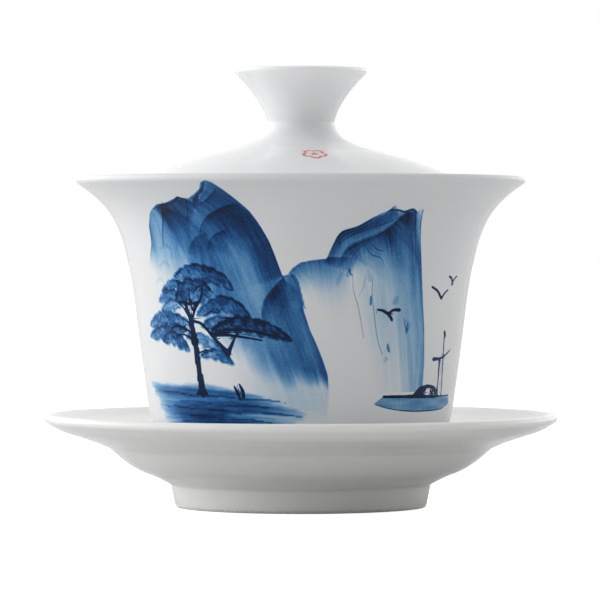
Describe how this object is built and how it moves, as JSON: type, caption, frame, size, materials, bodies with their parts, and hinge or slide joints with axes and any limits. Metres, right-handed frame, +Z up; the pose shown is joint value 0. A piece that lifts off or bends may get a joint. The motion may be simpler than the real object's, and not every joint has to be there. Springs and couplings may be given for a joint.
{
  "type": "lidded tea bowl with saucer",
  "caption": "Gaiwan: flared porcelain tea bowl with a domed lid, a hollow trumpet knob and a wide saucer, painted with a blue landscape.",
  "frame": {"origin": "on the table, at the centre of the saucer's foot ring", "axes": "+Z up along the axis that all three pieces are turned on, -Y towards the painted front of the bowl, +X to the right of someone facing that front"},
  "size_m": [0.1126, 0.1126, 0.0963],
  "materials": {
    "saucer_glaze": "glossy clear glaze over white porcelain, bare body on the foot ring",
    "bowl_painted_glaze": "glossy clear glaze over white porcelain, cobalt blue landscape under the glaze",
    "lid_glaze": "glossy clear glaze over white porcelain, one small red blossom mark"
  },
  "bodies": {
    "saucer": {"saucer": "saucer_glaze"},
    "bowl": {"bowl": "bowl_painted_glaze"},
    "lid": {"lid": "lid_glaze"}
  },
  "joints": [
    {"name": "bowl_lift", "type": "slide", "parent": "saucer", "child": "bowl", "axis": [0, 0, 1], "range_m": [0, 0.06]},
    {"name": "lid_lift", "type": "slide", "parent": "bowl", "child": "lid", "axis": [0, 0, 1], "range_m": [0, 0.06]}
  ]
}
